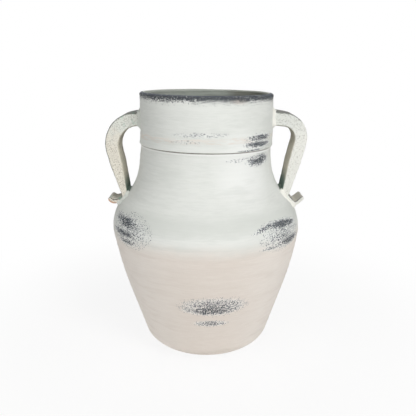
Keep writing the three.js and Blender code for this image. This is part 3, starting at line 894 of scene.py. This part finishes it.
def groundWash(paint, angle, z, m):
    # two washes that meet where height + brush marks crosses the break; each goes over to its deeper
    # tone with the strokes, and bands, sweeps, flecks and a chip lie over them
    c, w = washColours, wash
    cloud, stroke, hair = m["cloud"] - 0.5, m["stroke"] - 0.5, m["hair"] - 0.5
    level = z + cloud * w["drift"][0] + stroke * w["drift"][1]
    below = paint.step(level, w["break"] + w["breakSoft"], w["break"] - w["breakSoft"])
    upper = paint.mix(paint.clamp((m["stroke"] - 0.4) * 1.3 + cloud), c["upper"], c["upperDeep"])
    # painted highlight: the neck is whitened right of the front, where the light falls brightest
    upper = paint.mix(patchMask(paint, angle, z, w["thick"]), upper, c["white"])
    # painted shade: a darker band round the belly where it turns downwards
    height, half, share = w["dark"]
    upper = paint.mix(paint.step(abs(z - height + cloud * 12), half, 2) * share, upper, c["upperDeep"])
    height, half, share = w["bright"]
    upper = paint.mix(paint.step(abs(z - height + stroke * 8), half, 1) * share, upper, c["brightLine"])
    # painted shade: round the front the lower wash goes over to its darker warm tone, against the front light
    at, half, share = w["warmAt"]
    warm = (m["stroke"] - 0.4) * 0.6 + hair * 0.4 + paint.step(abs(angle - at), half, 8) * share + 0.04
    lower = paint.mix(paint.clamp(warm), c["lower"], c["lowerWarm"])
    # the lower wash is painted lighter than the upper for the light thrown up from the floor, over its own
    # warm tone
    colour = paint.mix(below, upper, lower)
    deeper = paint.mix(below, c["upperDeep"], c["lowerWarm"])
    colour = paint.mix(paint.step(m["sweep"], 0.5, 0.68) * w["sweep"], colour, deeper)
    colour = paint.mix(paint.step(m["fine"], 0.7, 0.8) * w["flecks"], colour, c["upperDeep"])
    height, half, share = w["ring"]
    ring = paint.step(abs(z - height + stroke * 6), half, 2) * paint.step(m["hair"], 0.4, 0.6) * share
    chip = patchMask(paint, angle, z, w["chip"]) * paint.step(m["hair"], 0.35, 0.55) * 0.7
    return paint.mix(paint.larger(ring, chip), colour, c["beige"])


def dryBrushed(paint, colour, angle, radius, z, m):
    # bare where grit + rubbed share passes 1: grit is a random value of 0 to 1 from grain and crossed
    # hairs, and the rubbed share is the largest of the patches here, uneven along the hairs
    c, w = washColours, wash
    brushed = paint.larger(*[patchMask(paint, angle, z, patch) for patch in patches])
    weave = weaveAt(paint, angle, radius, z, m["warp"])
    grit = paint.clamp((m["grain"] - 0.5) * 2.9 + (weave - 0.5) * 0.18 + 0.5)
    bare = grit + brushed * paint.clamp((m["hair"] - 0.5) * 2.6 + 0.95)
    stipple = paint.step(bare, 0.94, 1.08) * paint.step(brushed, 0.02, 0.1)
    slip = paint.mix(paint.step(bare, 1.05, 1.5), c["slipThin"], c["slip"])
    halo = (1 - stipple) * paint.step(brushed, 0.1, 0.45) * w["halo"]
    colour = paint.mix(halo, colour, c["white"])
    return paint.mix(stipple * w["slip"], colour, slip), stipple


def rubbedLip(paint, colour, x, y, z, radius, m):
    # solid slip over the crest of the near side, breaking into specks further down the outside: depth is 0
    # where it stops being solid and 1 where it ends
    c, r = washColours, lipRub
    below = pot["rim"] - x * math.tan(math.radians(pot["rimTilt"])) - z
    side = paint.step(x, -60, -82) * r["leftThin"]
    depth = (below + side - r["solid"]) / (r["specks"] - r["solid"])
    edge = paint.step(y, -20, 20) * (r["farEdge"] - r["nearEdge"]) + r["nearEdge"]
    cover = paint.step(radius - edge, -0.4, 0.8)
    specks = paint.clamp(1 - depth) + (m["grain"] - 0.5) * 3.3 + (m["hair"] - 0.5) * 0.7
    lip = paint.step(specks, 0.4, 0.56) * cover * paint.step(depth, 1.3, 1.1)
    # paler slip where the lip's top faces up: a painted highlight on the crest, mixed with random wear from
    # the fine marks
    crest = paint.step(radius, 86.2, 84.4)
    worn = paint.clamp(crest * 0.5 + (m["fine"] - 0.5) * 1.4 + 0.05)
    return paint.mix(lip * r["share"], colour, paint.mix(worn, c["slip"], c["slipThin"])), lip


def collarSeam(paint, colour, x, z, radius, m):
    # a dark line at the seat, and below it a thin painted highlight, a white line where light catches the
    # neck: steps on the distance from each
    c, s = washColours, seam
    seatLevel = pot["seat"] - x * math.tan(math.radians(pot["seatTilt"]))
    off = z - seatLevel + (m["grain"] - 0.5) * s["wobble"]
    onWall = paint.step(radius, 82, 83)
    # painted highlight: a thin white line on the neck just under the seam
    highlight = paint.step(abs(off + s["highlightBelow"]), *s["highlight"]) * onWall * s["highlightShare"]
    colour = paint.mix(highlight, colour, c["white"])
    clear = paint.step(x, *s["clearFrom"]) * 0.4 + s["faint"]
    return paint.mix(paint.step(abs(off - 0.1), *s["line"]) * onWall * clear, colour, c["clay"])


def limewash(name):
    # the two washes, rubbed through to the slip in patches and on the lip, with the seam over them
    paint = Paint(bpy.data.materials.new(name))
    x, y, z = paint.place()
    m = paint.marks(washMarks)
    angle = paint.maths("ARCTAN2", x, -y) * (180 / math.pi)
    radius = paint.maths("SQRT", x * x + y * y)
    colour = groundWash(paint, angle, z, m)
    colour, stipple = dryBrushed(paint, colour, angle, radius, z, m)
    colour, lip = rubbedLip(paint, colour, x, y, z, radius, m)
    colour = collarSeam(paint, colour, x, z, radius, m)
    height = m["grain"] * 0.5 + m["hair"] * 0.12 + m["stroke"] * 0.25 - stipple * 0.3 - lip * 0.3
    return paint.finish(colour, wash["roughness"] + (m["grain"] - 0.5) * 0.12, height, wash["relief"])


# bare inside: its colours, random marks, where the brown run lies in x and where the lip begins
insideColours = {"grey": srgb(173, 178, 170), "deep": srgb(136, 142, 134), "streak": srgb(112, 110, 98),
                 "lip": srgb(180, 184, 176)}
insideMarks = {"grain": (1.5,), "hair": (12, (1, 1, 0.12), 3.0, 0.6), "cloud": (30,)}
insidePaint = {"run": (22, 46), "runShare": 0.6, "lipFrom": (346.5, 348.5), "lines": 0.7}


def innerWash(name):
    # grey-green, darker in the throwing lines, sin(height * lines + clouds), and in a brown run
    c, p = insideColours, insidePaint
    paint = Paint(bpy.data.materials.new(name))
    x, y, z = paint.place()
    m = paint.marks(insideMarks)
    line = paint.maths("SINE", z * p["lines"] + m["cloud"] * 6) * 0.5 + 0.5
    colour = paint.mix(paint.clamp((m["hair"] - 0.4) * 1.6 + line * 0.35), c["grey"], c["deep"])
    run = paint.step(x + (m["hair"] - 0.5) * 16, *p["run"]) * p["runShare"]
    colour = paint.mix(run, colour, c["streak"])
    colour = paint.mix(paint.step(z, *p["lipFrom"]) * 0.7, colour, c["lip"])
    height = m["grain"] * 0.4 + m["hair"] * 0.8 + line * 0.5
    return paint.finish(colour, 0.8 + (m["grain"] - 0.5) * 0.1, height, 0.3)


strapColours = {
    "left": {"side": srgb(224, 226, 218), "leg": srgb(229, 224, 211), "line": srgb(104, 108, 102)},
    "right": {"side": srgb(232, 234, 228), "leg": srgb(240, 240, 233), "line": srgb(104, 104, 100)},
    "brown": srgb(150, 142, 126), "innerTop": srgb(172, 165, 150), "inner": srgb(214, 208, 192),
    # innerFoot is green slip darkened by painted shade, for the crevice under the foot
    "innerFoot": srgb(84, 110, 98), "spot": srgb(108, 168, 146), "greyFleck": srgb(176, 178, 170),
    "tailTop": srgb(206, 203, 193), "tailEdge": srgb(96, 96, 90), "terracotta": srgb(206, 152, 118),
    "white": srgb(246, 246, 239),
}
strapMarks = {"grain": (1.25, (1, 1, 1), 3.0), "fine": (0.8, (1, 1, 1), 1.0), "cloud": (9, (1, 1, 1), 3.0),
              "pull": (6, (0.6, 0.35, 2.4), 3.0)}
# where the strap's finish changes: places on the run from root 0 over knuckle 1 and foot 2 to tip 3, and
# on the section from -1 on the inner face to 1 on the outer one
strapPaint = {
    "left": {"lineEnd": (1.55, 1.75), "flecks": 0.75}, "right": {"lineEnd": (0.85, 1.0), "flecks": 0.45},
    "legFrom": (0.75, 1.3), "hammeredTo": (1.35, 1.0), "lineAt": (0.80, 0.93), "innerAt": (-0.80, -0.95),
    "paleFrom": (0.9, 1.4), "greenFrom": (1.62, 1.86), "tailFrom": (1.98, 2.1), "roughness": 0.85,
    "relief": 0.34,
}


def creamWash(name, s):
    # each layer is a step on the run along the strap or on the place round its section, moved by marks
    side = "left" if s["side"] < 0 else "right"
    c, own, p = strapColours, strapColours[side], strapPaint
    paint = Paint(bpy.data.materials.new(name))
    paint.place()
    m = paint.marks(strapMarks)
    grain, cloud = m["grain"] - 0.5, m["cloud"] - 0.5  # these swing about 0
    run, outward, sideways = paint.field("run"), paint.field("outward"), paint.field("sideways")
    colour = paint.mix(paint.step(run + cloud * 0.6, *p["legFrom"]), own["side"], own["leg"])
    colour = paint.mix(paint.step(m["grain"], 0.53, 0.66) * p[side]["flecks"], colour, c["brown"])
    hammered = paint.step(run, *p["hammeredTo"]) * paint.step(m["grain"], 0.52, 0.66)
    colour = paint.mix(hammered * 0.45, colour, c["greyFleck"])
    colour = paint.mix(paint.step(m["grain"], 0.42, 0.3) * 0.5, colour, c["white"])
    # a dark line along the outer edges, broad at the root
    broad = paint.step(run, 0.75, 0.1) * 0.16
    start, end = p[side]["lineEnd"]
    line = paint.step(outward + broad + grain * 0.3, *p["lineAt"]) * paint.step(run, end, start)
    colour = paint.mix(line * 0.85, colour, own["line"])
    # the face towards the pot: brown at the top, grey-green down the leg, dark green in the crevice, where
    # the green is deepened by painted shade
    inner = paint.step(outward + grain * 0.15, *p["innerAt"]) * paint.step(run, 2.1, 2.0)
    innerColour = paint.mix(paint.step(run + cloud * 0.5, *p["paleFrom"]), c["innerTop"], c["inner"])
    # painted shade: near the foot the face towards the pot goes deep green in the tight crevice
    innerColour = paint.mix(paint.step(run + cloud * 0.2, *p["greenFrom"]), innerColour, c["innerFoot"])
    innerColour = paint.mix(paint.step(m["grain"], 0.5, 0.7) * 0.4, innerColour, c["tailEdge"])
    colour = paint.mix(inner * 0.95, colour, innerColour)
    # the tail's upper face stayed bare, with its edge rubbed dark
    onTail = paint.step(run, *p["tailFrom"])
    top = onTail * paint.step(outward + grain * 0.3, 0.5, 0.85)
    edge = paint.step(abs(sideways) + grain * 0.3, 0.8, 0.95)
    colour = paint.mix(top * 0.9, colour, paint.mix(edge, c["tailTop"], c["tailEdge"]))
    if side == "left":
        # green spots at the root and on the tail, and a chip on the tail's lower side
        places = paint.larger(onTail, paint.step(run, 0.85, 0.6) * 0.5)
        colour = paint.mix(paint.step(m["cloud"], 0.56, 0.64) * places * 0.5, colour, c["spot"])
        chip = paint.step(run, 2.4, 2.7) * paint.step(outward + grain, 0.2, -0.5) * 0.85
        chip = chip * paint.step(sideways + cloud, -0.3, -0.8)
        colour = paint.mix(chip, colour, c["terracotta"])
    height = m["grain"] * 1.5 + m["pull"] * 0.6 + m["fine"] * 0.3
    return paint.finish(colour, p["roughness"] + grain * 0.15, height, p["relief"])


# smoothed clay of the rolls: the crevice under the foot is given by its half depth in y and its heights
# the right rolls' near white is a painted highlight, where they face the light; the left ones keep the body's
# grey
rollColours = {"left": srgb(214, 217, 210), "right": srgb(244, 243, 235)}
rollMarks = {"grain": (1.2, (1, 1, 1), 3.0), "cloud": (8,)}
rollPaint = {"crevice": (19, 14), "creviceTop": (238, 234), "creviceFoot": (214, 218), "share": 0.85}


def rollWash(name, pale):
    # pale on its crest, and green-grey slip in the tight corner by the pot, its green deepened there by
    # painted shade: steps on y and on the height
    c, p = strapColours, rollPaint
    paint = Paint(bpy.data.materials.new(name))
    x, y, z = paint.place()
    m = paint.marks(rollMarks)
    # pale is the roll's own colour, and on the right rolls a painted highlight as well
    colour = paint.mix(paint.step(m["grain"], 0.6, 0.75) * 0.3, pale, c["brown"])
    crevice = paint.step(abs(y) + (m["cloud"] - 0.5) * 6, *p["crevice"])
    crevice = crevice * paint.step(z, *p["creviceTop"]) * paint.step(z, *p["creviceFoot"])
    # painted shade: the tight corner under the strap is darkened to deep green
    colour = paint.mix(crevice * p["share"], colour, c["innerFoot"])
    return paint.finish(colour, 0.86 + (m["grain"] - 0.5) * 0.1, m["grain"], 0.3)


bodyMaterials = [limewash("limewash"), innerWash("bare_inside")]
print("finishes ready")

makeLowerBody(bodyMaterials)
makeUpperBody(bodyMaterials)
makeCollar(bodyMaterials)
for strapName, strap in straps.items():
    makeStrap(strapName, strap, [creamWash(f"cream_wash_{strapName}", strap)])
    makeRolls(strapName, strap, [rollWash(f"smoothed_clay_{strapName}", rollColours[strapName])])
